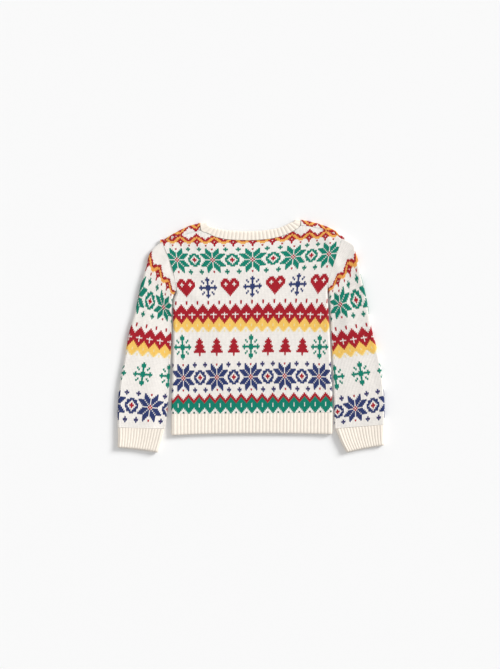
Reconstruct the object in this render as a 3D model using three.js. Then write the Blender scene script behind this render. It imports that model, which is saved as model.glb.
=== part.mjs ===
import * as THREE from "three";

// A toddler's knitted winter sweater, laid flat with its back uppermost and its sleeves
// folded down beside the body. Millimetres: X runs across the chest, Y up to the neck and
// Z up from the surface it lies on. Every piece is a knitted wall built from two matched
// nets of points, an outer face and an inner face.

// Knit and lay
const wall = 3; // thickness of the two-colour knit
const neckClear = 1; // from the neckband's joined edge to a panel's points beside it
const shoulderGap = 0.45; // from the shoulder seam line down to the back's points
const airGap = 0.6; // air between the two layers in the middle of a piece
const seamGap = 0.3; // left open between neighbouring pieces
const edgeSwell = 1.6; // extra height of the upper layer beside a folded edge
const swellReach = 17; // how far in from the fold that swell dies away
const layerTop = 2 * wall + airGap; // height of the upper layer's face in the middle
const foldRadius = (layerTop + edgeSwell) / 2; // outside radius of a folded edge
const innerRadius = foldRadius - wall; // inside radius of the same fold
const rollAngles = [0, 30, 60, 90].map(THREE.MathUtils.degToRad); // stations round a fold

// Ribbing, one knit rib in each pitch
const hemRib = { pitch: 5.85, rise: 0.8 };
const cuffRib = { pitch: 5.2, rise: 0.8 };
const neckRib = { pitch: 6.7, rise: 0.7 };
const ribShape = [0, 1, 1]; // height of one rib at three even stations
const edgeDrop = 0.9; // how far a rib's face rounds down at its free edge
const hemDepth = 38; // height of the hem rib
const roundShare = 0.93; // where its rounding starts, as a share of that height

// Yarn colours of the plain pieces
const creamKnit = 0xefeae0;
const creamRib = 0xf1e8da;

// Side edges of the body from the rib's top to the underarm
const sideEdges = [
  { leftX: -139.4, leftY: -135.5, rightX: 143.0, rightY: -132.8 },
  { leftX: -138.9, leftY: -104.8, rightX: 142.2, rightY: -104.8 },
  { leftX: -138.2, leftY: -76.8, rightX: 141.0, rightY: -76.8 },
  { leftX: -136.8, leftY: -33.1, rightX: 139.2, rightY: -33.1 },
  { leftX: -135.9, leftY: 10.7, rightX: 137.3, rightY: 10.7 },
  { leftX: -135.9, leftY: 45.7, rightX: 135.5, rightY: 45.7 },
  { leftX: -134.6, leftY: 63.2, rightX: 134.4, rightY: 66.2 },
  { leftX: -129.4, leftY: 81.0, rightX: 134.0, rightY: 84.2 },
];

// Armhole seams from the underarm to the shoulder tip
const armholes = [
  { leftX: -129.4, leftY: 81.0, rightX: 134.0, rightY: 84.2 },
  { leftX: -132.0, leftY: 94.7, rightX: 135.9, rightY: 99.9 },
  { leftX: -135.0, leftY: 110.4, rightX: 140.4, rightY: 113.9 },
  { leftX: -140.8, leftY: 127.9, rightX: 146.2, rightY: 130.7 },
  { leftX: -148.7, leftY: 149.6, rightX: 153.2, rightY: 152.4 },
  { leftX: -155.3, leftY: 165.6, rightX: 159.7, rightY: 171.3 },
];

// Shoulder folds, which are the top outline, and the shoulder seams behind them on the
// back, both from the neckband outwards to the shoulder tip
const leftShoulder = [
  { foldX: -89.2, foldY: 198.3, seamX: -88.4, seamY: 184.6 },
  { foldX: -106.7, foldY: 193.6, seamX: -106.7, seamY: 180.4 },
  { foldX: -124.2, foldY: 185.7, seamX: -124.2, seamY: 175.9 },
  { foldX: -138.2, foldY: 177.9, seamX: -141.7, seamY: 170.4 },
  { foldX: -151.6, foldY: 169.6, seamX: -154.2, seamY: 163.65 },
];
const rightShoulder = [
  { foldX: 86.9, foldY: 203.9, seamX: 86.2, seamY: 193.4 },
  { foldX: 99.8, foldY: 201.6, seamX: 99.8, seamY: 192.4 },
  { foldX: 117.3, foldY: 197.2, seamX: 117.3, seamY: 188.8 },
  { foldX: 134.8, foldY: 191.2, seamX: 134.8, seamY: 183.4 },
  { foldX: 148.8, foldY: 184.0, seamX: 148.8, seamY: 177.4 },
  { foldX: 158.0, foldY: 175.6, seamX: 158.85, seamY: 169.25 },
];

// Neckband on the back, from the wearer's left corner to the right one: the edge joined to
// the body and the free edge round the head opening
const backNeck = [
  { joinX: -87.8, joinY: 193.8, freeX: -75.9, freeY: 196.2 },
  { joinX: -86.2, joinY: 184.4, freeX: -72.5, freeY: 192.2 },
  { joinX: -75.5, joinY: 180.0, freeX: -66.5, freeY: 190.2 },
  { joinX: -61.5, joinY: 173.8, freeX: -56.5, freeY: 187.8 },
  { joinX: -41.7, joinY: 169.4, freeX: -39.0, freeY: 184.8 },
  { joinX: -14.0, joinY: 168.0, freeX: -12.5, freeY: 183.4 },
  { joinX: 14.0, joinY: 168.4, freeX: 12.8, freeY: 183.8 },
  { joinX: 38.0, joinY: 171.2, freeX: 34.8, freeY: 186.3 },
  { joinX: 59.0, joinY: 176.8, freeX: 53.0, freeY: 190.4 },
  { joinX: 76.0, joinY: 184.9, freeX: 65.0, freeY: 196.2 },
  { joinX: 84.6, joinY: 191.8, freeX: 72.4, freeY: 199.0 },
  { joinX: 86.0, joinY: 200.0, freeX: 75.6, freeY: 200.4 },
];

// Neckband on the front, which lies underneath, between the same two corners
const frontNeck = [
  { joinX: -87.8, joinY: 193.8, freeX: -75.9, freeY: 196.2 },
  { joinX: -83.5, joinY: 174.0, freeX: -70.0, freeY: 180.0 },
  { joinX: -69.0, joinY: 151.5, freeX: -58.5, freeY: 162.5 },
  { joinX: -44.0, joinY: 134.5, freeX: -38.0, freeY: 148.8 },
  { joinX: -15.0, joinY: 128.0, freeX: -13.0, freeY: 143.4 },
  { joinX: 16.0, joinY: 128.5, freeX: 14.0, freeY: 143.9 },
  { joinX: 45.0, joinY: 136.5, freeX: 39.0, freeY: 150.8 },
  { joinX: 69.0, joinY: 155.0, freeX: 58.5, freeY: 166.0 },
  { joinX: 82.0, joinY: 177.5, freeX: 68.5, freeY: 184.0 },
  { joinX: 86.0, joinY: 200.0, freeX: 75.6, freeY: 200.4 },
];
const armRows = 7; // stations along an armhole, shared by the body and the sleeves
const tipDrop = 2.6; // how far short of the armhole's end the shoulder seam meets it
const strapCells = 4; // stations along a shoulder seam, shared by the back and the front
const cornerAngles = [30, 60, 90, 120, 150].map(THREE.MathUtils.degToRad);

// Free lower edge of the hem rib
const hemEdge = [
  { x: -139.4, y: -173.4 },
  { x: -89.2, y: -171.3 },
  { x: -1.7, y: -169.8 },
  { x: 85.8, y: -170.1 },
  { x: 142.5, y: -171.3 },
];

// Top of the hem rib, where the two-colour knit begins
const hemTop = [
  { x: -139.4, y: -135.5 },
  { x: -69.9, y: -135.1 },
  { x: 0.1, y: -134.6 },
  { x: 71.8, y: -133.8 },
  { x: 143.0, y: -132.8 },
];

// Sleeve sections from the armhole to the cuff: the edge beside the body and the outer edge
const leftSleeve = [
  { bodyX: -129.4, bodyY: 81.0, outerX: -155.3, outerY: 165.6, capCurve: 1 },
  { bodyX: -135.2, bodyY: 71.1, outerX: -171.2, outerY: 152.4, capCurve: 0.8 },
  { bodyX: -137.9, bodyY: 56.2, outerX: -182.8, outerY: 122.0, capCurve: 0.5 },
  { bodyX: -138.4, bodyY: 35.2, outerX: -191.5, outerY: 92.9, capCurve: 0.2 },
  { bodyX: -138.6, bodyY: 8.9, outerX: -201.7, outerY: 46.6, capCurve: 0 },
  { bodyX: -139.2, bodyY: -17.3, outerX: -211.8, outerY: 10.7, capCurve: 0 },
  { bodyX: -140.8, bodyY: -52.3, outerX: -220.6, outerY: -37.3, capCurve: 0 },
  { bodyX: -142.6, bodyY: -90.8, outerX: -229.3, outerY: -83.6, capCurve: 0 },
  { bodyX: -146.3, bodyY: -132.8, outerX: -232.8, outerY: -129.4, capCurve: 0 },
  { bodyX: -149.5, bodyY: -161.7, outerX: -233.4, outerY: -159.4, capCurve: 0 },
];
const rightSleeve = [
  { bodyX: 134.0, bodyY: 84.2, outerX: 159.7, outerY: 171.3, capCurve: 1 },
  { bodyX: 136.4, bodyY: 70.2, outerX: 172.8, outerY: 165.6, capCurve: 0.8 },
  { bodyX: 137.4, bodyY: 54.4, outerX: 183.0, outerY: 145.3, capCurve: 0.5 },
  { bodyX: 139.0, bodyY: 31.7, outerX: 192.6, outerY: 105.2, capCurve: 0.2 },
  { bodyX: 140.4, bodyY: 5.4, outerX: 202.4, outerY: 63.2, capCurve: 0 },
  { bodyX: 141.6, bodyY: -20.8, outerX: 210.4, outerY: 15.7, capCurve: 0 },
  { bodyX: 143.2, bodyY: -55.8, outerX: 225.0, outerY: -42.1, capCurve: 0 },
  { bodyX: 144.6, bodyY: -94.3, outerX: 231.6, outerY: -88.8, capCurve: 0 },
  { bodyX: 145.6, bodyY: -132.8, outerX: 233.7, outerY: -128.1, capCurve: 0 },
  { bodyX: 145.9, bodyY: -161.5, outerX: 233.4, outerY: -154.4, capCurve: 0 },
];

// Cuff ribs, upper and free ends of each
const leftCuff = [
  { bodyX: -150.6, bodyY: -162.0, outerX: -232.9, outerY: -159.8, capCurve: 0 },
  { bodyX: -156.6, bodyY: -184.5, outerX: -232.5, outerY: -178.5, capCurve: 0 },
  { bodyX: -162.7, bodyY: -203.9, outerX: -233.4, outerY: -194.9, capCurve: 0 },
];
const rightCuff = [
  { bodyX: 147.4, bodyY: -161.9, outerX: 232.6, outerY: -154.8, capCurve: 0 },
  { bodyX: 156.4, bodyY: -184.0, outerX: 232.4, outerY: -174.5, capCurve: 0 },
  { bodyX: 167.0, bodyY: -203.9, outerX: 232.9, outerY: -190.9, capCurve: 0 },
];

// Soft ridges and troughs of the upper layer: centre, direction of the ridge in degrees
// from X, half length, half width and rise
const softFolds = [
  { x: -150, y: 120, turn: 72, length: 52, width: 7, rise: 1.1 }, // left armhole
  { x: 150, y: 126, turn: 108, length: 55, width: 7, rise: 1.1 }, // right armhole
  { x: -108, y: 168, turn: -14, length: 60, width: 10, rise: 1.0 }, // left shoulder
  { x: 112, y: 178, turn: -17, length: 60, width: 10, rise: 1.0 }, // right shoulder
  { x: 165, y: 40, turn: 104, length: 60, width: 12, rise: 1.4 }, // right sleeve, upper arm
  { x: 190, y: -50, turn: 100, length: 70, width: 16, rise: 1.0 }, // right forearm
  { x: -186, y: 20, turn: 76, length: 75, width: 14, rise: 1.1 }, // left upper arm
  { x: -176, y: -110, turn: 88, length: 60, width: 15, rise: 0.9 }, // left forearm
  { x: -112, y: 82, turn: -38, length: 46, width: 9, rise: 1.2 }, // drag from left underarm
  { x: 112, y: 86, turn: 36, length: 44, width: 9, rise: 1.1 }, // drag from right underarm
  { x: -52, y: -20, turn: 96, length: 95, width: 26, rise: 0.9 }, // long roll, body left
  { x: 66, y: -60, turn: 84, length: 85, width: 24, rise: 0.8 }, // long roll, body right
  { x: 10, y: 60, turn: 4, length: 70, width: 18, rise: 0.7 }, // across the shoulder blades
  { x: -95, y: -116, turn: 12, length: 40, width: 12, rise: 0.8 }, // over the hem, left
  { x: 100, y: -112, turn: -10, length: 44, width: 12, rise: 0.8 }, // over the hem, right
];

// Height of the upper face at a point, given its distance from the nearest folded edge
function upperFace(x, y, fromFold) {
  let height = layerTop + edgeSwell * Math.exp(-Math.max(0, fromFold - foldRadius) / swellReach);
  const fade = THREE.MathUtils.smoothstep(fromFold, foldRadius, foldRadius + swellReach);
  for (const fold of softFolds) {
    const turn = THREE.MathUtils.degToRad(fold.turn);
    const along = (x - fold.x) * Math.cos(turn) + (y - fold.y) * Math.sin(turn);
    const across = (y - fold.y) * Math.cos(turn) - (x - fold.x) * Math.sin(turn);
    const bell = Math.exp(-((along / fold.length) ** 2) - (across / fold.width) ** 2);
    height += fade * fold.rise * bell;
  }
  return height;
}

// A smooth curve through the points of a table's columns
function curveThrough(rows, xName, yName) {
  const points = rows.map((row) => new THREE.Vector3(row[xName], row[yName], 0));
  return new THREE.CatmullRomCurve3(points, false, "centripetal");
}

// The value of every column of a table at t from 0 to 1 along it, smooth from row to row
function tableAt(rows, t) {
  const place = THREE.MathUtils.clamp(t, 0, 1) * (rows.length - 1);
  const low = Math.min(Math.floor(place), rows.length - 2);
  const f = place - low;
  const result = {};
  for (const name of Object.keys(rows[0])) {
    const p1 = rows[low][name];
    const p2 = rows[low + 1][name];
    const p0 = low > 0 ? rows[low - 1][name] : 2 * p1 - p2;
    const p3 = low + 2 < rows.length ? rows[low + 2][name] : 2 * p2 - p1;
    const m1 = (p2 - p0) / 2;
    const m2 = (p3 - p1) / 2;
    const bend = (2 * f ** 3 - 3 * f ** 2 + 1) * p1 + (f ** 3 - 2 * f ** 2 + f) * m1;
    result[name] = bend + (3 * f ** 2 - 2 * f ** 3) * p2 + (f ** 3 - f ** 2) * m2;
  }
  return result;
}

// A closed wall from two matched nets of points. Cells where has(row, column) is false are
// left out, and every open border is closed between the two faces.
function wallGeometry(outer, inner, options = {}) {
  const { around = false, has = () => true } = options;
  const rows = outer.length;
  const columns = outer[0].length;
  const cells = around ? columns : columns - 1;
  const index = new Map();
  const positions = [];
  const triangles = [];
  const vertex = (face, row, column) => {
    const key = `${face},${row},${column % columns}`;
    if (!index.has(key)) {
      const point = (face ? inner : outer)[row][column % columns];
      index.set(key, positions.length / 3);
      positions.push(point.x, point.y, point.z);
    }
    return index.get(key);
  };
  const filled = (row, cell) => {
    if (row < 0 || row >= rows - 1) return false;
    if (around) return has(row, (cell + cells) % cells);
    return cell >= 0 && cell < cells && has(row, cell);
  };
  const quad = (a, b, c, d) => triangles.push(a, b, c, a, c, d);
  for (let row = 0; row < rows - 1; row++) {
    for (let cell = 0; cell < cells; cell++) {
      if (!filled(row, cell)) continue;
      const corner = (face) => [
        vertex(face, row, cell),
        vertex(face, row, cell + 1),
        vertex(face, row + 1, cell + 1),
        vertex(face, row + 1, cell),
      ];
      const [a, b, c, d] = corner(0);
      const [e, f, g, h] = corner(1);
      quad(a, b, c, d);
      quad(h, g, f, e);
      if (!filled(row - 1, cell)) quad(b, a, e, f);
      if (!filled(row + 1, cell)) quad(d, c, g, h);
      if (!filled(row, cell - 1)) quad(a, d, h, e);
      if (!filled(row, cell + 1)) quad(c, b, f, g);
    }
  }
  if (signedVolume(positions, triangles) < 0) triangles.reverse();
  const geometry = new THREE.BufferGeometry();
  geometry.setAttribute("position", new THREE.Float32BufferAttribute(positions, 3));
  geometry.setIndex(triangles);
  geometry.computeVertexNormals();
  return geometry;
}

function signedVolume(positions, triangles) {
  const at = (i) => new THREE.Vector3().fromArray(positions, 3 * i);
  let volume = 0;
  for (let i = 0; i < triangles.length; i += 3) {
    const [a, b, c] = [at(triangles[i]), at(triangles[i + 1]), at(triangles[i + 2])];
    volume += a.dot(b.cross(c)) / 6;
  }
  return volume;
}

// Even stations from a to b, both ends included
function stations(a, b, count) {
  return Array.from({ length: count + 1 }, (_, i) => a + ((b - a) * i) / count);
}

// Stations across ribbing between two distances: place and rise, one knit rib in each pitch
function ribStations(from, to, rib) {
  const ribs = Math.round((to - from) / rib.pitch);
  const step = (to - from) / ribs / ribShape.length;
  const list = [];
  for (let i = 1; i < ribs * ribShape.length; i++) {
    list.push({ at: from + i * step, rise: rib.rise * ribShape[i % ribShape.length] });
  }
  return list;
}

// Points across one flattened layer, from its left folded edge to its right one. Each
// station holds its distance from the left edge, or an angle round one of the folds.
function layerStations(width, flats) {
  const left = rollAngles.map((angle) => ({ angle, side: "left" }));
  const right = [...rollAngles].reverse().map((angle) => ({ angle, side: "right" }));
  return [...left, ...flats.map((flat) => ({ ...flat, share: flat.at / width })), ...right];
}

// The outer and inner points of a layer at one station. place(distance) gives the plan
// point at that distance from the left edge. rolled is 1 where the edge is folded round
// and 0 where it is cut off square at an armhole.
function layerPoints(station, width, place, isUpper, rolled) {
  const rim = (outward) => (station.side === "right" ? width - outward : outward);
  const isRoll = station.angle !== undefined;
  const sine = isRoll ? Math.sin(station.angle) : 1;
  const cosine = isRoll ? Math.cos(station.angle) : 0;
  const outerIn = isRoll ? rim(foldRadius * (1 - cosine)) : station.share * width;
  const wrapIn = rim(foldRadius - innerRadius * cosine);
  const innerIn = isRoll ? THREE.MathUtils.lerp(outerIn, wrapIn, rolled) : outerIn;
  const outer = place(outerIn);
  const inner = place(innerIn);
  const lift = station.rise ?? 0;
  if (isUpper) {
    const face = upperFace(outer.x, outer.y, Math.min(outerIn, width - outerIn));
    const seam = face / 2 + seamGap / 2;
    outer.z = THREE.MathUtils.lerp(face, seam + (face - seam) * sine, rolled) + lift;
    const under = face - wall;
    inner.z = THREE.MathUtils.lerp(under, seam + (under - seam) * sine, rolled);
  } else {
    const face = layerTop + edgeSwell;
    const seam = face / 2 - seamGap / 2;
    outer.z = THREE.MathUtils.lerp(0, seam * (1 - sine), rolled);
    inner.z = THREE.MathUtils.lerp(wall, seam - (seam - wall) * sine, rolled);
  }
  return { outer, inner };
}

// A tube knitted in one piece and pressed flat: the ring at each section runs over the
// upper layer and back under the lower one
function flatTube(sections, sectionCount, options) {
  const { capPath = null, rib = null, moveX = 0 } = options;
  const outerNet = [];
  const innerNet = [];
  for (let row = 0; row <= sectionCount; row++) {
    const t = row / sectionCount;
    const section = tableAt(sections, t);
    const start = new THREE.Vector3(section.bodyX, section.bodyY, 0);
    const end = new THREE.Vector3(section.outerX, section.outerY, 0);
    const width = start.distanceTo(end);
    const place = (distance) => {
      const share = distance / width;
      const point = start.clone().lerp(end, share);
      if (capPath) {
        const chord = capPath.getPoint(0).lerp(capPath.getPoint(1), share);
        point.addScaledVector(capPath.getPointAt(share).sub(chord), section.capCurve);
      }
      point.x += moveX;
      return point;
    };
    const first = sections[0];
    const nominal = Math.hypot(first.outerX - first.bodyX, first.outerY - first.bodyY);
    const plain = stations(0, nominal, armRows).slice(1, -1);
    const stretch = (flat) => ({ ...flat, at: (flat.at / nominal) * width });
    const flats = (rib ? ribStations(foldRadius, nominal - foldRadius, rib)
      : plain.map((at) => ({ at }))).map(stretch);
    const low = stations(0, width, armRows).slice(1, -1).map((at) => ({ at }));
    const upper = layerStations(width, flats);
    const lower = layerStations(width, low).reverse().slice(1, -1);
    const atEnd = rib && row === sectionCount ? edgeDrop : 0;
    const outerRing = [];
    const innerRing = [];
    for (const [list, isUpper] of [[upper, true], [lower, false]]) {
      for (const station of list) {
        const { outer, inner } = layerPoints(station, width, place, isUpper, 1);
        if (isUpper && station.angle === undefined) outer.z -= atEnd;
        if (station.angle === 0) outer.z = inner.z = foldRadius;
        outerRing.push(outer);
        innerRing.push(inner);
      }
    }
    outerNet.push(outerRing);
    innerNet.push(innerRing);
  }
  return wallGeometry(outerNet, innerNet, { around: true });
}

// The hem rib of the back or of the front, one layer between the two side seams
function hemRibLayer(isUpper) {
  const plainCells = 12;
  const top = curveThrough(hemTop, "x", "y");
  const free = curveThrough(hemEdge, "x", "y");
  const depths = [seamGap / hemDepth, roundShare, 1];
  const nominal = top.getPoint(0).distanceTo(top.getPoint(1));
  const flats = isUpper ? ribStations(foldRadius, nominal - foldRadius, hemRib)
    : stations(0, nominal, plainCells).slice(1, -1).map((at) => ({ at }));
  const outerNet = [];
  const innerNet = [];
  for (const depth of depths) {
    const ends = [0, 1].map((u) => top.getPoint(u).lerp(free.getPoint(u), depth));
    const width = ends[0].distanceTo(ends[1]);
    const place = (distance) => {
      const share = distance / width;
      return top.getPointAt(share).lerp(free.getPointAt(share), depth);
    };
    const stretched = flats.map((flat) => ({ ...flat, at: (flat.at / nominal) * width }));
    const drop = isUpper && depth === 1 ? edgeDrop : 0;
    const row = layerStations(width, stretched).map((station) => {
      const pair = layerPoints(station, width, place, isUpper, 1);
      if (station.angle === undefined) pair.outer.z -= drop;
      return pair;
    });
    outerNet.push(row.map((pair) => pair.outer));
    innerNet.push(row.map((pair) => pair.inner));
  }
  return wallGeometry(outerNet, innerNet);
}

// A smooth patch between four border curves, each a function of a share from 0 to 1
function patch(bottom, top, left, right) {
  const corners = [bottom(0), bottom(1), top(0), top(1)];
  return (u, v) => {
    const point = bottom(u).multiplyScalar(1 - v).addScaledVector(top(u), v);
    point.addScaledVector(left(v), 1 - u).addScaledVector(right(v), u);
    point.addScaledVector(corners[0], -(1 - v) * (1 - u));
    point.addScaledVector(corners[1], -(1 - v) * u);
    point.addScaledVector(corners[2], -v * (1 - u));
    return point.addScaledVector(corners[3], -v * u);
  };
}

// A part of a curve, run from one share of its length to another
function stretchOf(curve, from, to) {
  return (share) => curve.getPointAt(THREE.MathUtils.clamp(from + (to - from) * share, 0, 1));
}

// The side edge or the armhole of a body panel on one side, moved in from the seam line
function panelEdge(rows, side) {
  const inset = side === "left" ? seamGap / 2 : -seamGap / 2;
  const moved = rows.map((row) => ({ x: row[`${side}X`] + inset, y: row[`${side}Y`] }));
  return curveThrough(moved, "x", "y");
}

// A neckband's joined edge, moved out far enough that a panel's straight chords clear it
function besideJoin(row) {
  const out = new THREE.Vector3(row.joinX - row.freeX, row.joinY - row.freeY, 0).normalize();
  return { x: row.joinX + out.x * neckClear, y: row.joinY + out.y * neckClear };
}

// Stations from a to b that close up towards both ends, where a neckline turns hardest
function closerAtEnds(a, b, count) {
  return stations(0, 1, count).map((share) => {
    const eased = (1 - Math.cos(Math.PI * share)) / 2;
    return a + (b - a) * (share + eased) / 2;
  });
}

// Shares across a body panel: along one shoulder, across the neck and along the other
function strapStations([a, b], neck) {
  const first = 0.13; // where the stations start, as a share of a shoulder
  const left = stations(first * a, a, strapCells);
  const right = stations(b, 1 - first * (1 - b), strapCells);
  return [...left, ...neck.slice(1), ...right.slice(1)];
}

const edges = {
  leftSide: panelEdge(sideEdges, "left"),
  rightSide: panelEdge(sideEdges, "right"),
  leftArm: panelEdge(armholes, "left"),
  rightArm: panelEdge(armholes, "right"),
};

// The back, from the hem rib to the shoulder seams and the neckband's joined edge
function backPanel() {
  const sideRows = 12;
  const cornerShares = [0.222, 0.775];
  const below = (x, y) => ({ x, y: y - shoulderGap });
  const leftSeam = leftShoulder.map((row) => below(row.seamX, row.seamY)).reverse();
  const rightSeam = rightShoulder.map((row) => below(row.seamX, row.seamY));
  const edge = (side, arm) => (v) => {
    const row = v * (sideRows + armRows);
    if (row <= sideRows) return side.getPointAt(row / sideRows);
    const reach = 1 - tipDrop / arm.getLength();
    return arm.getPointAt(Math.min(1, (row - sideRows) / armRows) * reach);
  };
  const left = edge(edges.leftSide, edges.leftArm);
  const right = edge(edges.rightSide, edges.rightArm);
  leftSeam[0] = left(1);
  rightSeam[rightSeam.length - 1] = right(1);
  const neckRows = backNeck.slice(1, -1).map(besideJoin);
  const neckLine = [leftSeam.at(-1), ...neckRows, rightSeam[0]];
  const parts = [leftSeam, neckLine, rightSeam].map((rows) => curveThrough(rows, "x", "y"));
  const top = (u) => {
    const [a, b] = cornerShares;
    if (u < a) return parts[0].getPointAt(u / a);
    if (u <= b) return parts[1].getPointAt((u - a) / (b - a));
    return parts[2].getPointAt((u - b) / (1 - b));
  };
  const bottom = curveThrough(hemTop, "x", "y");
  const hem = (u) => {
    const point = bottom.getPointAt(u);
    point.x = THREE.MathUtils.lerp(left(0).x, right(0).x, u);
    return point;
  };
  const plan = patch(hem, top, left, right);
  const shares = strapStations(cornerShares, closerAtEnds(...cornerShares, 14));
  const outerNet = [];
  const innerNet = [];
  const rowCount = sideRows + armRows;
  for (let row = 0; row <= rowCount; row++) {
    const v = row / rowCount;
    const width = left(v).distanceTo(right(v));
    const rolled = THREE.MathUtils.clamp(sideRows - row, 0, 1);
    const flats = shares.map((share) => ({ at: share * width }));
    const pairs = layerStations(width, flats).map((station) =>
      layerPoints(station, width, (d) => plan(d / width, v), true, rolled));
    outerNet.push(pairs.map((pair) => pair.outer));
    innerNet.push(pairs.map((pair) => pair.inner));
  }
  return wallGeometry(outerNet, innerNet);
}

// The shoulder fold of the front: the axis it turns about, its outward direction and its
// outside radius at each share from the neckband to the shoulder tip
function shoulderFold(rows) {
  const fold = curveThrough(rows, "foldX", "foldY");
  return (share) => {
    const point = fold.getPointAt(share);
    const tangent = fold.getTangentAt(share);
    const out = new THREE.Vector3(-tangent.y, tangent.x, 0);
    if (out.y < 0) out.negate();
    const radius = upperFace(point.x, point.y, Infinity) / 2;
    return { axis: point.addScaledVector(out, -radius), out, radius };
  };
}

// The front lies underneath with its neck scooped lower than the back's. Its two shoulder
// straps fold over the top outline and end at the seams on the back.
function frontPanel() {
  const sideRows = 9;
  const lowRows = 3;
  const strapRows = armRows - lowRows;
  const turns = [45, 90, 135, 180].map(THREE.MathUtils.degToRad);
  const flapRows = 1;
  const neckCells = 10;
  const strapShares = [0.23, 0.77]; // where the scoop's sides meet the straps, at the underarm
  const scoopShares = [0.24, 0.76]; // the same places along the scoop
  const armShare = lowRows / armRows; // how far up the armhole the scoop's sides reach
  const folds = { left: shoulderFold(leftShoulder), right: shoulderFold(rightShoulder) };
  const seams = {
    left: curveThrough(leftShoulder, "seamX", "seamY"),
    right: curveThrough(rightShoulder, "seamX", "seamY"),
  };
  const scoopRows = frontNeck.slice(1, -1).map(besideJoin);
  const scoop = curveThrough([folds.left(0).axis, ...scoopRows, folds.right(0).axis], "x", "y");
  const hem = (u) => {
    const point = curveThrough(hemTop, "x", "y").getPointAt(u);
    point.x = THREE.MathUtils.lerp(edges.leftSide.getPoint(0).x, edges.rightSide.getPoint(0).x, u);
    return point;
  };
  const straight = (a, b) => (share) => a.clone().lerp(b, share);
  const underarm = straight(edges.leftArm.getPoint(0), edges.rightArm.getPoint(0));
  const [a, b] = strapShares;
  const [c, d] = scoopShares;
  const cornerL = scoop.getPointAt(c);
  const cornerR = scoop.getPointAt(d);
  const armL = edges.leftArm.getPointAt(armShare);
  const armR = edges.rightArm.getPointAt(armShare);
  const body = patch(hem, underarm, stretchOf(edges.leftSide, 0, 1),
    stretchOf(edges.rightSide, 0, 1));
  const within = (from, to) => (share) => underarm(from + (to - from) * share);
  const low = [
    patch(within(0, a), straight(armL, cornerL), stretchOf(edges.leftArm, 0, armShare),
      straight(underarm(a), cornerL)),
    patch(within(a, b), stretchOf(scoop, c, d), straight(underarm(a), cornerL),
      straight(underarm(b), cornerR)),
    patch(within(b, 1), straight(cornerR, armR), straight(underarm(b), cornerR),
      stretchOf(edges.rightArm, 0, armShare)),
  ];
  const tips = { left: folds.left(1).axis, right: folds.right(1).axis };
  const armTo = (arm, tip) => (share) => {
    const point = arm.getPointAt(armShare + (1 - armShare) * share);
    return point.lerp(tip, share ** 6);
  };
  const straps = [
    patch(straight(armL, cornerL), (u) => folds.left(1 - u).axis,
      armTo(edges.leftArm, tips.left), stretchOf(scoop, c, 0)),
    null,
    patch(straight(cornerR, armR), (u) => folds.right(u).axis,
      stretchOf(scoop, d, 1), armTo(edges.rightArm, tips.right)),
  ];
  const bounds = [0, a, b, 1];
  const slack = 1e-6;
  const partOf = (share) => {
    const part = share < a + slack ? 0 : share < b - slack ? 1 : 2;
    const local = (share - bounds[part]) / (bounds[part + 1] - bounds[part]);
    return [part, THREE.MathUtils.clamp(local, 0, 1)];
  };
  const plan = (row, share) => {
    if (row <= sideRows) return body(share, row / sideRows);
    const [part, local] = partOf(share);
    if (row <= sideRows + lowRows) return low[part](local, (row - sideRows) / lowRows);
    if (part === 1) return low[part](local, 1);
    return straps[part](local, (row - sideRows - lowRows) / strapRows);
  };
  // A point past the strap's flat rows: round the fold, then over to the seam
  const overFold = (share, turn, flap, depth) => {
    const [part, local] = partOf(share);
    if (part === 1) return low[part](local, 1);
    const side = part === 0 ? "left" : "right";
    const along = part === 0 ? 1 - local : local;
    const { axis, out, radius } = folds[side](along);
    const reach = radius - depth;
    const point = axis.addScaledVector(out, reach * Math.sin(turn));
    point.z = radius - reach * Math.cos(turn);
    if (flap > 0) {
      const seam = seams[side].getPointAt(along);
      point.lerp(seam, flap);
      point.z = upperFace(point.x, point.y, Infinity) - depth;
    }
    return point;
  };
  const shares = strapStations(strapShares, stations(a, b, neckCells));
  const flatRows = sideRows + lowRows + strapRows;
  const outerNet = [];
  const innerNet = [];
  const width = underarm(0).distanceTo(underarm(1));
  const list = layerStations(width, shares.map((share) => ({ at: share * width })));
  for (let row = 0; row <= flatRows + turns.length + flapRows; row++) {
    const rolled = THREE.MathUtils.clamp(sideRows - row, 0, 1);
    const pairs = list.map((station) => {
      if (row <= flatRows) {
        return layerPoints(station, width, (at) => plan(row, at / width), false, rolled);
      }
      const rim = foldRadius * (1 - Math.cos(station.angle ?? 0));
      const at = station.angle === undefined ? station.share * width
        : station.side === "left" ? rim : width - rim;
      const past = row - flatRows;
      const turn = turns[Math.min(past, turns.length) - 1];
      const flap = Math.max(0, past - turns.length) / flapRows;
      return {
        outer: overFold(at / width, turn, flap, 0),
        inner: overFold(at / width, turn, flap, wall),
      };
    });
    outerNet.push(pairs.map((pair) => pair.outer));
    innerNet.push(pairs.map((pair) => pair.inner));
  }
  const leftCells = rollAngles.length + strapCells;
  const rightCell = leftCells + neckCells;
  const has = (row, cell) => row < sideRows + lowRows || cell < leftCells || cell >= rightCell;
  return wallGeometry(outerNet, innerNet, { has });
}

// Shares of a table at even spaces along the middle of its strip
function evenShares(rows, count) {
  const fine = 400;
  const lengths = [0];
  const middle = (t) => {
    const row = tableAt(rows, t);
    return new THREE.Vector2((row.joinX + row.freeX) / 2, (row.joinY + row.freeY) / 2);
  };
  for (let i = 1; i <= fine; i++) {
    lengths.push(lengths[i - 1] + middle(i / fine).distanceTo(middle((i - 1) / fine)));
  }
  const total = lengths[fine];
  const shares = stations(0, total, count).map((target) => {
    const i = Math.min(fine, Math.max(1, lengths.findIndex((length) => length >= target)));
    return (i - (lengths[i] - target) / (lengths[i] - lengths[i - 1])) / fine;
  });
  return { shares, total };
}

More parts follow.
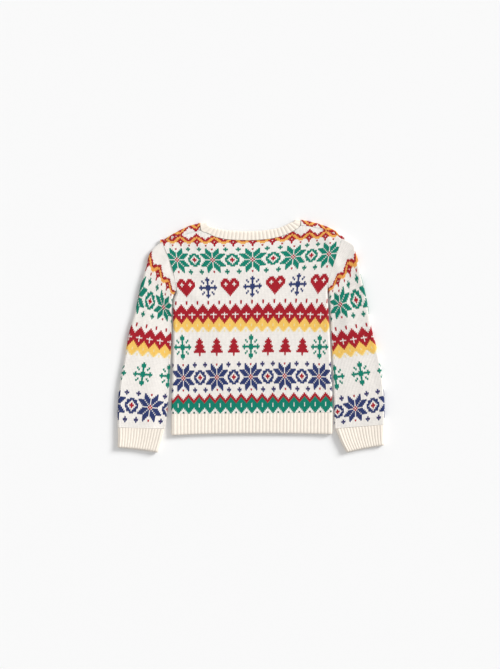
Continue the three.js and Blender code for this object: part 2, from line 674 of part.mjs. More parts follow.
// The neckband, one knitted strip that runs round the head opening: over the back on top,
// round the two shoulder corners and along the front's scoop underneath
function neckband() {
  const stops = [];
  const { total } = evenShares(backNeck, 2);
  const ribs = Math.round(total / neckRib.pitch);
  const back = evenShares(backNeck, ribs * ribShape.length).shares;
  back.forEach((share, i) => {
    const isEnd = i === 0 || i === back.length - 1;
    const rise = isEnd ? 0 : neckRib.rise * ribShape[i % ribShape.length];
    stops.push({ row: tableAt(backNeck, share), turn: Math.PI, rise });
  });
  const turnAt = (row, angles) => angles.forEach((turn) => stops.push({ row, turn, rise: 0 }));
  turnAt(backNeck.at(-1), [...cornerAngles].reverse());
  for (const share of evenShares(frontNeck, 26).shares.reverse()) {
    stops.push({ row: tableAt(frontNeck, share), turn: 0, rise: 0 });
  }
  turnAt(backNeck[0], cornerAngles);
  const edgePoint = (stop, edge, depth) => {
    const { row, turn, rise } = stop;
    const point = new THREE.Vector3(row[`${edge}X`], row[`${edge}Y`], 0);
    const out = new THREE.Vector3(row.joinY - row.freeY, row.freeX - row.joinX, 0).normalize();
    if (out.y < 0) out.negate();
    const radius = upperFace(point.x, point.y, Infinity) / 2;
    point.addScaledVector(out, (radius - depth) * Math.sin(turn));
    point.z = radius - (radius - depth) * Math.cos(turn);
    if (depth === 0) point.z += rise;
    return point;
  };
  const net = (depth) => ["join", "free"].map((edge) =>
    stops.map((stop) => edgePoint(stop, edge, depth)));
  return wallGeometry(net(0), net(wall), { around: true });
}

const sweater = new THREE.Group();

function addPiece(name, geometry, color, roughness) {
  const material = new THREE.MeshStandardMaterial({ color, roughness, metalness: 0 });
  const mesh = new THREE.Mesh(geometry, material);
  mesh.name = name;
  sweater.add(mesh);
}

const capLeft = curveThrough(armholes, "leftX", "leftY");
const capRight = curveThrough(armholes, "rightX", "rightY");

addPiece("back_panel", backPanel(), creamKnit, 0.95);
addPiece("front_panel", frontPanel(), creamKnit, 0.95);
addPiece("neckband", neckband(), creamRib, 0.95);
addPiece("hem_rib_back", hemRibLayer(true), creamRib, 0.95);
addPiece("hem_rib_front", hemRibLayer(false), creamRib, 0.95);
addPiece("left_sleeve",
  flatTube(leftSleeve, 18, { capPath: capLeft, moveX: -seamGap / 2 }), creamKnit, 0.95);
addPiece("right_sleeve",
  flatTube(rightSleeve, 18, { capPath: capRight, moveX: seamGap / 2 }), creamKnit, 0.95);
addPiece("left_cuff", flatTube(leftCuff, 2, { rib: cuffRib }), creamRib, 0.95);
addPiece("right_cuff", flatTube(rightCuff, 2, { rib: cuffRib }), creamRib, 0.95);

export default sweater;
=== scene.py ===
import math

import bpy
import numpy as np
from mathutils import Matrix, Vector


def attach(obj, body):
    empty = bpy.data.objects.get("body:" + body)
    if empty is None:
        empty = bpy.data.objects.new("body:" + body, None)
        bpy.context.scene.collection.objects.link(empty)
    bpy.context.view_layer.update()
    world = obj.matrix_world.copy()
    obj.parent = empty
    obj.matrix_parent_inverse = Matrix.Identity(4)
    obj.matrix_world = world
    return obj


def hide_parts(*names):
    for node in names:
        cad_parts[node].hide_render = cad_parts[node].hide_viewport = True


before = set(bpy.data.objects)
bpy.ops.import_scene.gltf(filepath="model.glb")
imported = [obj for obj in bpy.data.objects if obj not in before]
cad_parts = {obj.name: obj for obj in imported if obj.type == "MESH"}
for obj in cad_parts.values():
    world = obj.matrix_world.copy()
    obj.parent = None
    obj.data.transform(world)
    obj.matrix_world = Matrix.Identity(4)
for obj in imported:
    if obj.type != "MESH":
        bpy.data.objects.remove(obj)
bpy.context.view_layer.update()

# A toddler's two-colour knitted winter sweater, laid flat with its back uppermost. Tables and
# sizes are in millimetres, in the frame's axes: X across the chest, Y to the neck, Z up.
mm = 0.001

# How the cloth lies. These are the frame's own sizes, so each knitted shell fits its solid.
lay = {
    "wall": 3.0,  # thickness of the frame's solids
    "knit": 2.0,  # thickness of the shells here
    "airGap": 0.6,  # air between the two layers
    "edgeSwell": 1.6,  # extra height beside a folded edge
    "swellReach": 17.0,  # how far in from the fold it dies away
    "seamGap": 0.3,  # between neighbouring pieces
    "neckClear": 1.0,  # between the neckband's join and the panels
    "shoulderGap": 0.45,  # between a shoulder seam and the back
    "rollFade": 9.0,  # how far below the underarm the side edges begin to flatten
}
farFromFold = 1e3  # a distance at which no folded edge swells the cloth
layerTop = 2 * lay["wall"] + lay["airGap"]
foldRadius = (layerTop + lay["edgeSwell"]) / 2
quarterArc = foldRadius * math.pi / 2
arcGain = quarterArc - foldRadius  # cloth taken up by a quarter turn, past its width in plan


# Rows of numbers under named columns
def table(names, rows):
    return [dict(zip(names.split(), row)) for row in rows]


def column(rows, name):
    return np.array([row[name] for row in rows], float)


# Side edges of the body and the armhole seams above them, from the hem rib to the shoulder
bodyEdges = table("leftX leftY rightX rightY", [
    (-139.4, -135.5, 143.0, -132.8),
    (-138.9, -104.8, 142.2, -104.8),
    (-138.2, -76.8, 141.0, -76.8),
    (-136.8, -33.1, 139.2, -33.1),
    (-135.9, 10.7, 137.3, 10.7),
    (-135.9, 45.7, 135.5, 45.7),
    (-134.6, 63.2, 134.4, 66.2),
    (-129.4, 81.0, 134.0, 84.2),
    (-132.0, 94.7, 135.9, 99.9),
    (-135.0, 110.4, 140.4, 113.9),
    (-140.8, 127.9, 146.2, 130.7),
    (-148.7, 149.6, 153.2, 152.4),
    (-155.3, 165.6, 159.7, 171.3),
])
underarmRow = 7  # the row of bodyEdges where the sleeve begins

# Shoulder folds and the seams behind them, from the left tip to the right tip
shoulders = table("foldX foldY seamX seamY", [
    (-151.6, 169.6, -154.2, 163.65),
    (-138.2, 177.9, -141.7, 170.4),
    (-124.2, 185.7, -124.2, 175.9),
    (-106.7, 193.6, -106.7, 180.4),
    (-89.2, 198.3, -88.4, 184.6),
    (86.9, 203.9, 86.2, 193.4),
    (99.8, 201.6, 99.8, 192.4),
    (117.3, 197.2, 117.3, 188.8),
    (134.8, 191.2, 134.8, 183.4),
    (148.8, 184.0, 148.8, 177.4),
    (158.0, 175.6, 158.85, 169.25),
])
leftShoulderRows = 5  # how many rows of shoulders belong to the left one
scoopEnds = {"leftX": -88.4, "leftY": 195.5, "rightX": 86.6, "rightY": 201.5}  # the front's

# The neckband over the back and along the front's scoop underneath. Its two corners stand 0.4
# wider than the frame's, nearer to the front's straps.
backNeck = table("joinX joinY freeX freeY", [
    (-88.2, 193.8, -75.9, 196.2),
    (-86.2, 184.4, -72.5, 192.2),
    (-75.5, 180.0, -66.5, 190.2),
    (-61.5, 173.8, -56.5, 187.8),
    (-41.7, 169.4, -39.0, 184.8),
    (-14.0, 168.0, -12.5, 183.4),
    (14.0, 168.4, 12.8, 183.8),
    (38.0, 171.2, 34.8, 186.3),
    (59.0, 176.8, 53.0, 190.4),
    (76.0, 184.9, 65.0, 196.2),
    (84.6, 191.8, 72.4, 199.0),
    (86.4, 200.0, 75.6, 200.4),
])
frontNeck = table("joinX joinY freeX freeY", [
    (-88.2, 193.8, -75.9, 196.2),
    (-83.5, 174.0, -70.0, 180.0),
    (-69.0, 151.5, -58.5, 162.5),
    (-44.0, 134.5, -38.0, 148.8),
    (-15.0, 128.0, -13.0, 143.4),
    (16.0, 128.5, 14.0, 143.9),
    (45.0, 136.5, 39.0, 150.8),
    (69.0, 155.0, 58.5, 166.0),
    (82.0, 177.5, 68.5, 184.0),
    (86.4, 200.0, 75.6, 200.4),
])

# The hem rib: its top, where the pattern begins, and its free edge
hemTop = {"x": [-139.4, -69.9, 0.1, 71.8, 143.0], "y": [-135.5, -135.1, -134.6, -133.8, -132.8]}
hemEdge = {"x": [-139.4, -89.2, -1.7, 85.8, 142.5], "y": [-173.4, -171.3, -169.8, -170.1, -171.3]}

# Soft ridges of the upper layer: centre, direction in degrees from X, half length, half width
# and rise.
softFolds = table("x y turn length width rise", [
    (-150, 120, 72, 52, 7, 1.1),
    (150, 126, 108, 55, 7, 1.1),
    (-108, 168, -14, 60, 10, 1.0),
    (112, 178, -17, 60, 10, 1.0),
    (165, 40, 104, 60, 12, 1.4),
    (190, -50, 100, 70, 16, 1.0),
    (-186, 20, 76, 75, 14, 1.1),
    (-176, -110, 88, 60, 15, 0.9),
    (-112, 82, -38, 46, 9, 1.2),
    (112, 86, 36, 44, 9, 1.1),
    (-52, -20, 96, 95, 26, 0.9),
    (66, -60, 84, 85, 24, 0.8),
    (10, 60, 4, 70, 18, 0.7),
    (-95, -116, 12, 40, 12, 0.8),
    (100, -112, -10, 44, 12, 0.8),
])


# A smooth curve through values given at keys, read at any places; past the ends it runs on
# straight. values may differ from place to place, with their last axis along the keys.
def smoothAt(keys, values, at):
    keys = np.asarray(keys, float)
    at = np.asarray(at, float)
    values = np.broadcast_to(np.asarray(values, float), at.shape + (len(keys),))
    slopes = np.gradient(values, keys, axis=-1)
    low = np.clip(np.searchsorted(keys, at, side="right") - 1, 0, len(keys) - 2)

    def take(data, index):
        return np.take_along_axis(data, index[..., None], -1)[..., 0]

    span = keys[low + 1] - keys[low]
    share = (at - keys[low]) / span
    f = np.clip(share, 0, 1)
    a, b = take(values, low), take(values, low + 1)
    ma, mb = take(slopes, low) * span, take(slopes, low + 1) * span
    inside = (2 * f**3 - 3 * f**2 + 1) * a + (f**3 - 2 * f**2 + f) * ma
    inside += (3 * f**2 - 2 * f**3) * b + (f**3 - f**2) * mb
    return inside + (share - f) * np.where(share < 0, ma, mb)


def smoothStep(x, start, end):
    f = np.clip((np.asarray(x, float) - start) / (end - start), 0, 1)
    return f * f * (3 - 2 * f)


# Height of the upper face at a point, given its distance from the nearest folded edge
def upperFace(x, y, fromFold):
    reach = np.maximum(0, fromFold - foldRadius) / lay["swellReach"]
    height = layerTop + lay["edgeSwell"] * np.exp(-reach)
    fade = smoothStep(fromFold, foldRadius, foldRadius + lay["swellReach"])
    for fold in softFolds:
        turn = math.radians(fold["turn"])
        along = (x - fold["x"]) * math.cos(turn) + (y - fold["y"]) * math.sin(turn)
        across = (y - fold["y"]) * math.cos(turn) - (x - fold["x"]) * math.sin(turn)
        bell = np.exp(-((along / fold["length"]) ** 2) - (across / fold["width"]) ** 2)
        height = height + fade * fold["rise"] * bell
    return height


# One layer's points from the distance e along its cloth, from the folded edge at mid-height:
# how far in from the edge the point lies, and its height
def rolled(e, depth, face, isUpper, roll=1.0):
    angle = np.clip(e / foldRadius, 0, math.pi / 2)
    onArc = foldRadius - (foldRadius - depth) * np.cos(angle)
    inward = np.where(e < quarterArc, onArc, e - arcGain)
    if isUpper:
        seam = face / 2 + lay["seamGap"] / 2
        height = seam + (face - seam - depth) * np.sin(angle)
        flat = face - depth
    else:
        seam = (layerTop + lay["edgeSwell"]) / 2 - lay["seamGap"] / 2
        height = seam - (seam - depth) * np.sin(angle)
        flat = depth + 0 * e
    return inward, roll * height + (1 - roll) * flat


# Yarn colours as they look under the photograph's light
yarns = {
    ".": "#faf5ef",  # cream ground
    "c": "#f7ede0",  # the ribs' warmer cream
    "r": "#b01f2d",  # crimson
    "g": "#0f8771",  # green
    "f": "#33685a",  # green beside a stray red float
    "b": "#323f72",  # blue
    "p": "#5d3a5c",  # blue beside a stray red float
    "y": "#fed16c",  # yellow
    "o": "#f4b35a",  # orange yellow of the top band
    "k": "#f9e7b6",  # pale yellow, where both yarns mix
}


# sRGB hex to the linear colour that the shader needs
def linear(text):
    parts = [int(text[i:i + 2], 16) / 255 for i in (1, 3, 5)]
    return [p / 12.92 if p <= 0.04045 else ((p + 0.055) / 1.055) ** 2.4 for p in parts]


# Stitch charts, top course first. A quarter chart starts at the motif's centre column, its
# last line is the centre course, and it is mirrored both ways. x is the band's own yarn, z is
# the same with a stray float of another.
starQuarter = [
    "r...x....",
    "...xx....",
    "..xxx....",
    ".xxxx....",
    ".xxx.xxxx",
    ".xx.xxxx.",
    ".x.xxxx..",
    "r.xxxx...",
    ".r.......",
]
ringQuarter = [
    "xx...",
    ".xxx.",
    "..xx.",
    "r..xx",
    "rr..x",
]
flakeQuarter = [
    "x......",
    "xx.....",
    "x...x..",
    "x..x...",
    "x......",
    "xx...x.",
    "xxxxxxx",
]
tallFlakeQuarter = flakeQuarter[:2] + flakeQuarter[1:]
crossQuarter = [
    "x.",
    "zx",
]
heartChart = [
    "..xxx...xxx..",
    ".xxxxx.xxxxx.",
    "xxx.xxxxx.xxx",
    "xx...xxx...xx",
    "xxx.xxxxx.xxx",
    ".xxxxxxxxxxx.",
    "..xxxxxxxxx..",
    "...xxxxxxx...",
    "....xxxxx....",
    ".....xxx.....",
    "......x......",
]
firChart = [
    "....x....",
    "...xxx...",
    "..xxxxx..",
    "...xxx...",
    "..xxxxx..",
    ".xxxxxxx.",
    "..xxxxx..",
    ".xxxxxxx.",
    "xxxxxxxxx",
    "....x....",
    "....x....",
]
peakRepeat = [  # twelve stitches, the peak at the seventh
    "......r.....",
    ".....rrr....",
    "....rrorr...",
    "..rrooooorr.",
    ".rrooorooorr",
    "rrooorrrooor",
    "oooorr.rrooo",
    "oo...rrr...o",
    "......r.....",
    "r.....r.....",
]
diamondRepeat = [  # eight stitches, the valley at the first
    "r.......",
    "r.......",
    "....r...",
    "...rrr..",
    "..rrrrr.",
    ".rrrrrrr",
    "rrrrrrrr",
    "rrrr.rrr",
    "rr.....r",
    "rrrr.rrr",
    "yrrr.rrr",
    "yyrrrrry",
    "yyyrrryy",
    "yyyyryyy",
    "kyyyyyyy",
    "kyyyyyyy",
    "yyyk.kyy",
    "yyk...ky",
    "yk..k..k",
]
scallopRepeat = [  # eight stitches, the peak at the fifth
    "....r...",
    "...rrr..",
    "..rrgrr.",
    ".rrgggrr",
    "rrgggggr",
    "rggggggg",
    "gggg.ggg",
    "gggg.ggg",
    "gggg.ggg",
    ".ggggggg",
    "..ggggg.",
    "...ggg..",
    "f...g...",
]


def mirrored(quarter):
    top = [row[:0:-1] + row for row in quarter]
    return top + top[-2::-1]


# A knitted piece's chart: an array of yarn letters, course 0 lowest, with the column that
# stands at the middle of its motifs
def blankChart(courses, columns, middle, wraps):
    return {"cells": np.full((courses, columns), "."), "middle": middle, "wraps": wraps}


# Knits a motif into a chart with its centre stitch at column and course; bands may run off
# the sides. swap turns the motif's letters into yarns.
def knitIn(chart, motif, col, course, swap):
    courses, columns = chart["cells"].shape
    for down, row in enumerate(motif):
        r = course + len(motif) // 2 - down
        for across, mark in enumerate(row):
            c = chart["middle"] + col + across - len(row) // 2
            if chart["wraps"]:
                c %= columns
            if mark != "." and 0 <= r < courses and 0 <= c < columns:
                chart["cells"][r, c] = swap.get(mark, mark)


# A band that repeats all the way round, with its first column at col and top course at top
def knitRepeat(chart, repeat, col, top):
    courses, columns = chart["cells"].shape
    width = len(repeat[0])
    for down, row in enumerate(repeat):
        for c in range(columns):
            r = top - down
            if 0 <= r < courses:
                chart["cells"][r, c] = row[(c - chart["middle"] - col) % width]


# Stars and rings in turn, with small crosses beside each star
starBand = {"every": 26, "starsOnBody": 5, "crossSide": 9, "crossRise": 8}  # in stitches


def knitStarBand(chart, course, yarn, mixed, first=0):
    every = starBand["every"]
    repeats = starBand["starsOnBody"]
    start = -(repeats // 2)
    if chart["wraps"]:
        repeats = chart["cells"].shape[1] // every
        start = 0
    for i in range(start, start + repeats):
        star = first + i * every
        swap = {"x": yarn, "z": mixed}
        knitIn(chart, mirrored(starQuarter), star, course, swap)
        knitIn(chart, mirrored(ringQuarter), star + every // 2, course, swap)
        for side in (-starBand["crossSide"], starBand["crossSide"]):
            for rise in (-starBand["crossRise"], starBand["crossRise"]):
                knitIn(chart, mirrored(crossQuarter), star + side, course + rise, swap)


# The body's columns and courses: stitches are counted from the centre column and up from the
# hem rib. Each row of the table is a course line, with the places of five wales on it.
bodyKnit = {"columns": 125, "courses": 130}
wales = [-52, -26, 0, 26, 52]
bodyLines = [
    {"line": 0.0, "x": [-117.6, -57.9, 1.8, 61.5, 121.3], "y": [-135.4, -135.1, -134.6, -133.9, -133.1]},
    {"line": 11.0, "x": [-118.1, -58.3, 1.2, 61.1, 121.1], "y": [-106.8, -106.0, -105.4, -104.6, -103.6]},
    {"line": 23.5, "x": [-117.9, -59.6, -0.4, 58.8, 118.9], "y": [-73.2, -71.9, -70.9, -69.3, -70.8]},
    {"line": 42.5, "x": [-119.4, -59.7, 0.1, 60.0, 120.0], "y": [-19.4, -18.8, -18.2, -18.0, -18.8]},
    {"line": 62.5, "x": [-121.7, -60.5, 1.3, 63.1, 121.7], "y": [36.9, 37.8, 38.6, 39.0, 37.6]},
    {"line": 79.5, "x": [-122.5, -60.5, 2.6, 67.5, 128.5], "y": [83.7, 84.7, 87.0, 90.6, 91.6]},
    {"line": 97.5, "x": [-129.2, -67.1, 2.9, 74.0, 136.2], "y": [133.4, 133.2, 134.1, 138.8, 143.7]},
    {"line": 113.0, "x": [-133.0, -69.5, 2.9, 77.0, 140.0], "y": [168.6, 167.8, 168.4, 173.4, 178.9]},
    {"line": 130.0, "x": [-137.0, -71.5, 2.9, 79.0, 143.5], "y": [207.0, 205.6, 206.0, 211.4, 217.2]},
]

# The front's upper courses run up over the shoulder folds, so they lie higher than the back's
frontRise = {
    "from": 66, "to": 110,  # courses between which they climb
    "x": [-152, -122, -96, -60, 60, 96, 122, 158],
    "rise": [9, 24, 36, 34, 34, 34, 24, 9],
}


def bodyPlan(u, v, stretch=0.0):
    keys = column(bodyLines, "line")
    xs = np.array([row["x"] for row in bodyLines], float)
    ys = np.array([row["y"] for row in bodyLines], float)
    atLine = [smoothAt(keys, xs[:, i], v) for i in range(len(wales))]
    x = smoothAt(wales, np.stack(atLine, -1), u)
    atLine = [smoothAt(keys, ys[:, i], v) for i in range(len(wales))]
    y = smoothAt(wales, np.stack(atLine, -1), u)
    climb = np.interp(x, frontRise["x"], frontRise["rise"])
    return x, y + stretch * climb * smoothStep(v, frontRise["from"], frontRise["to"])


# The edge of the body at a height in plan, and how far it is rolled round there
def edgeX(side, y):
    inset = lay["seamGap"] / 2 * (1 if side == "left" else -1)
    return smoothAt(column(bodyEdges, side + "Y"), column(bodyEdges, side + "X"), y) + inset


def rollOf(side, y):
    underarm = bodyEdges[underarmRow][side + "Y"]
    return 1 - smoothStep(y, underarm - lay["rollFade"], underarm)


# Where a curve of the cloth's plan crosses the stitch grid, found on a fine net
def crossing(values, grid):
    change = np.argmax(values > 0, axis=0)
    found = np.where(values.max(axis=0) > 0, change, len(grid) - 1)
    before = np.maximum(found - 1, 0)
    picks = np.arange(values.shape[1])
    low, high = values[before, picks], values[found, picks]
    share = np.where(high > low, np.clip(-low / np.where(high > low, high - low, 1), 0, 1), 0)
    return grid[before] + share * (grid[found] - grid[before])


# Limits of a body panel on its own stitch grid: the first and last column at each course line,
# and the last line at each column
def bodyLimits(topOf, stretch):
    half = bodyKnit["columns"] / 2
    lines = np.linspace(0, bodyKnit["courses"], 2 * bodyKnit["courses"] + 1)
    across = np.linspace(-half, half, 8 * bodyKnit["columns"] + 1)
    u, v = np.meshgrid(across, lines, indexing="ij")
    x, y = bodyPlan(u, v, stretch)
    left = crossing(x - (edgeX("left", y) - arcGain * rollOf("left", y)), across)
    mirror = (edgeX("right", y) + arcGain * rollOf("right", y)) - x
    right = -crossing(mirror[::-1], -across[::-1])
    v, u = np.meshgrid(lines, across, indexing="ij")
    x, y = bodyPlan(u, v, stretch)
    top = crossing(y - topOf(x), lines)
    return {"left": (lines, left + half), "right": (lines, right + half), "top": (across + half, top)}


# Which yarn spreads over which: one with a higher number over one with a lower
darkness = {".": 0, "k": 1, "y": 2, "o": 2, "f": 3, "g": 4, "p": 3, "b": 4, "r": 5}


# How far the stitches' edges move sideways and upwards where the yarn changes
def yarnSpread(chart, columns, rows, around, amount):
    dark = np.vectorize(darkness.get)(chart["cells"])
    wrapped = np.concatenate([dark[:, -1:], dark, dark[:, :1]], axis=1)
    sideways = np.sign(wrapped[:, :-1] - wrapped[:, 1:]) * 1.0
    if not around:
        sideways[:, 0] = sideways[:, -1] = 0
    padded = np.concatenate([sideways[:1], sideways, sideways[-1:]])
    sideways = (padded[:-1] + padded[1:]) / 2
    upward = np.zeros((rows + 1, columns))
    upward[1:-1] = np.sign(dark[:-1] - dark[1:])
    return amount * sideways, amount * upward


# Where a panel's limits cut the stitch grid: in stitches, how near a side a point joins it and
# how far from it the V's are left out, and in courses, how near the top edge a point joins it
trim = {"side": 0.25, "plain": 0.7, "top": 0.3}
weldSize = 0.001  # points nearer than this are one, in millimetres
sharpTurn = 75  # degrees between faces from which their edge isn't smoothed


# A knitted shell. The outer net has several points across each stitch, whose course lines bend
# into V's; the inner net has one point at each stitch corner. shape(u, v, depth) gives points.
def knitShell(name, columns, rows, stitch, shape, chart=None, around=False, limits=None):
    per = len(stitch["places"])
    places = (np.arange(columns)[:, None] + np.array(stitch["places"])).ravel()
    reach = np.tile(stitch["chevron"], columns)
    sink = np.tile(stitch["depth"], columns)
    if not around:
        places = np.append(places, columns)
        reach = np.append(reach, reach[0])
        sink = np.append(sink, sink[0])
    u, v = np.meshgrid(places, np.arange(rows + 1.0))
    bend = np.tile(reach, (rows + 1, 1))
    depth = np.tile(sink, (rows + 1, 1))
    bend[0] = bend[-1] = 0
    uChart, vChart = u.copy(), v.copy()
    held = u.copy()  # places that the yarns' spread hasn't moved, which the piece's edges keep
    if chart:
        sideways, upward = yarnSpread(chart, columns, rows, around, stitch["spread"])
        edges = sideways[:, :columns] if around else sideways
        u[:, ::per] += edges
        lifted = np.repeat(upward, per, axis=1)
        joint = (upward + np.roll(upward, 1, axis=1)) / 2
        lifted[:, ::per] = joint
        if not around:
            lifted = np.concatenate([lifted, upward[:, -1:]], axis=1)
            lifted[:, 0] = upward[:, 0]
        bend += lifted
    if limits:
        low = np.interp(v, *limits["left"])
        high = np.interp(v, *limits["right"])
        bend[(held < low + trim["plain"]) | (held > high - trim["plain"])] = 0
        atLeft, atRight = held < low + trim["side"], held > high - trim["side"]
        depth[atLeft | atRight] = 0
        held = np.where(atLeft, low, np.where(atRight, high, held))
        last = np.interp(held, *limits["top"])
        v = v + bend
        atTop = v > last - trim["top"]
        v = np.where(atTop, last, v)
        u = np.where(atLeft | atRight | atTop, held, np.clip(u, low, high))
    else:
        v = v + bend
    outer = np.stack(shape(u, v, depth), -1)
    innerU = held[:, ::per]
    innerV = np.arange(rows + 1.0)[:, None] + 0 * innerU
    if limits:
        last = np.interp(innerU, *limits["top"])
        innerV = np.where(innerV > last - trim["top"], last, innerV)
    inner = np.stack(shape(innerU, innerV, np.full(innerU.shape, lay["knit"])), -1)
    return closeShell(name, outer, inner, columns, rows, per, around, chart, (uChart, vChart))


# Joins the two nets into one closed mesh, with each stitch's yarn colour and a stitch map
def closeShell(name, outer, inner, columns, rows, per, around, chart, stitchPlace):
    outerCount = outer.shape[0] * outer.shape[1]
    across = outer.shape[1]
    points = np.concatenate([outer.reshape(-1, 3), inner.reshape(-1, 3)])
    _, first, weld = np.unique(np.round(points / weldSize).astype(np.int64), axis=0,
                               return_index=True, return_inverse=True)
    weld = weld.ravel()
    innerAcross = inner.shape[1]
    faces, marks, kinds = [], [], []

    def outerAt(r, c):
        return r * across + c % across

    def innerAt(r, c):
        return outerCount + r * innerAcross + c % innerAcross

    def addFace(corners, mark, isFront):
        kept = []
        for corner in corners:
            if not kept or weld[corner] != weld[kept[-1]]:
                kept.append(corner)
        while len(kept) > 1 and weld[kept[0]] == weld[kept[-1]]:
            kept.pop()
        if len({int(weld[k]) for k in kept}) == len(kept) >= 3:
            faces.append(kept)
            marks.append(mark)
            kinds.append(isFront)

    for r in range(rows):
        for c in range(columns):
            mark = chart["cells"][r, c] if chart else "c"
            for k in range(c * per, (c + 1) * per):
                addFace([outerAt(r, k), outerAt(r, k + 1), outerAt(r + 1, k + 1), outerAt(r + 1, k)],
                        mark, True)
            addFace([innerAt(r + 1, c), innerAt(r + 1, c + 1), innerAt(r, c + 1), innerAt(r, c)],
                    ".", False)
    for c in range(columns):
        low = [outerAt(0, k) for k in range((c + 1) * per, c * per - 1, -1)]
        addFace(low + [innerAt(0, c), innerAt(0, c + 1)], ".", False)
        high = [outerAt(rows, k) for k in range(c * per, (c + 1) * per + 1)]
        addFace(high + [innerAt(rows, c + 1), innerAt(rows, c)], ".", False)
    if not around:
        for r in range(rows):
            addFace([outerAt(r, 0), outerAt(r + 1, 0), innerAt(r + 1, 0), innerAt(r, 0)], ".", False)
            end, innerEnd = across - 1, innerAcross - 1
            addFace([outerAt(r + 1, end), outerAt(r, end), innerAt(r, innerEnd),
                     innerAt(r + 1, innerEnd)], ".", False)
    mesh = bpy.data.meshes.new(name)
    used = points[first] * mm
    mesh.from_pydata(used.tolist(), [], [[int(weld[k]) for k in face] for face in faces])
    paintMesh(mesh, faces, marks, kinds, stitchPlace, outerCount)
    mesh.validate(clean_customdata=False)
    if signedVolume(mesh) < 0:
        mesh.flip_normals()
    mesh.polygons.foreach_set("use_smooth", np.ones(len(mesh.polygons), bool))
    mesh.set_sharp_from_angle(angle=math.radians(sharpTurn))
    piece = bpy.data.objects.new(name, mesh)
    bpy.context.scene.collection.objects.link(piece)
    return piece


def signedVolume(mesh):
    mesh.calc_loop_triangles()
    corners = np.empty(3 * len(mesh.loop_triangles), np.int32)
    mesh.loop_triangles.foreach_get("vertices", corners)
    places = np.empty(3 * len(mesh.vertices), np.float32)
    mesh.vertices.foreach_get("co", places)
    a, b, c = places.reshape(-1, 3)[corners.reshape(-1, 3)].transpose(1, 0, 2).astype(float)
    return float((a * np.cross(b, c)).sum() / 6)


# Yarn colour on every corner, and a map counted in stitches for the yarn's own relief
def paintMesh(mesh, faces, marks, kinds, stitchPlace, outerCount):
    dyes = {mark: linear(text) + [1.0] for mark, text in yarns.items()}
    counts = [len(face) for face in faces]
    colours = np.repeat(np.array([dyes[str(mark)] for mark in marks]), counts, axis=0)
    layer = mesh.color_attributes.new("yarn", "FLOAT_COLOR", "CORNER")
    layer.data.foreach_set("color", colours.astype(np.float32).ravel())
    corners = np.array([k for face in faces for k in face])
    onFace = np.repeat(np.array(kinds), counts) & (corners < outerCount)
    index = np.where(onFace, corners, 0)
    uv = np.stack([stitchPlace[0].ravel()[index], stitchPlace[1].ravel()[index]], -1)
    uv[~onFace] = (0.25, 0.5)  # the stitch's leg, where its painted shade is least
    mesh.uv_layers.new(name="stitchMap").uv.foreach_set("vector", uv.astype(np.float32).ravel())


# The V of one stitch, in shares of its width: edge, leg, centre, leg. chevron is how far the
# course line rises or falls there, in courses.
plainStitch = {
    "places": [0.0, 0.25, 0.5, 0.75],
    "chevron": [0.3, 0.0, -0.3, 0.0],
    "depth": [0.5, 0.0, 0.36, 0.0],
    "spread": 0.21,  # shares of a stitch that a dark one takes from a pale one
}
ribStitch = {
    "places": [0.0, 0.16, 0.34, 0.5, 0.66, 0.84],
    "chevron": [0.15, 0.3, 0.0, -0.3, 0.0, 0.3],
    "depth": [0.8, 0.34, 0.0, 0.1, 0.0, 0.34],
}

# The bands' courses: the centre course of motifs, the top course of repeats
bodyBands = {"scallop": 12, "blueStar": 23, "lowerRow": 42, "diamond": 70, "upperRow": 79,
             "greenStar": 97, "peak": 117}
sleeveBands = {"blueStar": 12, "flake": 33, "diamond": 63, "greenStar": 77, "peak": 97}
bodyMotifs = [
    {"motif": mirrored(tallFlakeQuarter), "yarn": "g", "row": "lowerRow", "columns": (-52, 0, 52)},
    {"motif": firChart, "yarn": "r", "row": "lowerRow", "columns": (-39, -26, -13, 13, 26, 39)},
    {"motif": mirrored(flakeQuarter), "yarn": "b", "row": "upperRow", "columns": (-32, 0, 32)},
    {"motif": heartChart, "yarn": "r", "row": "upperRow", "columns": (-48, -16, 16, 48)},
]
flakeEvery = 18  # stitches between a sleeve's snowflakes

print("charts")
bodyChart = blankChart(bodyKnit["courses"], bodyKnit["columns"], bodyKnit["columns"] // 2, False)
knitRepeat(bodyChart, scallopRepeat, -4, bodyBands["scallop"])
knitStarBand(bodyChart, bodyBands["blueStar"], "b", "p")
knitRepeat(bodyChart, diamondRepeat, 0, bodyBands["diamond"])
knitStarBand(bodyChart, bodyBands["greenStar"], "g", "f")
knitRepeat(bodyChart, peakRepeat, -6, bodyBands["peak"])
for row in bodyMotifs:
    for col in row["columns"]:
        knitIn(bodyChart, row["motif"], col, bodyBands[row["row"]], {"x": row["yarn"]})


# A sleeve's chart, with the columns of its motifs counted round from the outer fold
def sleeveChart(places):
    chart = blankChart(sleeveKnit["courses"], sleeveKnit["columns"], 0, True)
    knitStarBand(chart, sleeveBands["blueStar"], "b", "p", places["blueStar"])
    for i in range(-1, 3):
        col = places["flake"] + i * flakeEvery
        knitIn(chart, mirrored(tallFlakeQuarter), col, sleeveBands["flake"], {"x": "g"})
    knitRepeat(chart, diamondRepeat, places["diamond"] - 4, sleeveBands["diamond"])
    knitStarBand(chart, sleeveBands["greenStar"], "g", "f", places["greenStar"])
    knitRepeat(chart, peakRepeat, places["greenStar"] - 6, sleeveBands["peak"])
    return chart


# Points of a panel's edge along the neckband's join, without the two corners
def besideNeck(rows):
    points = []
    for row in rows[1:-1]:
        out = Vector((row["joinX"] - row["freeX"], row["joinY"] - row["freeY"])).normalized()
        out *= lay["neckClear"]
        points.append({"x": row["joinX"] + out.x, "y": row["joinY"] + out.y})
    return points


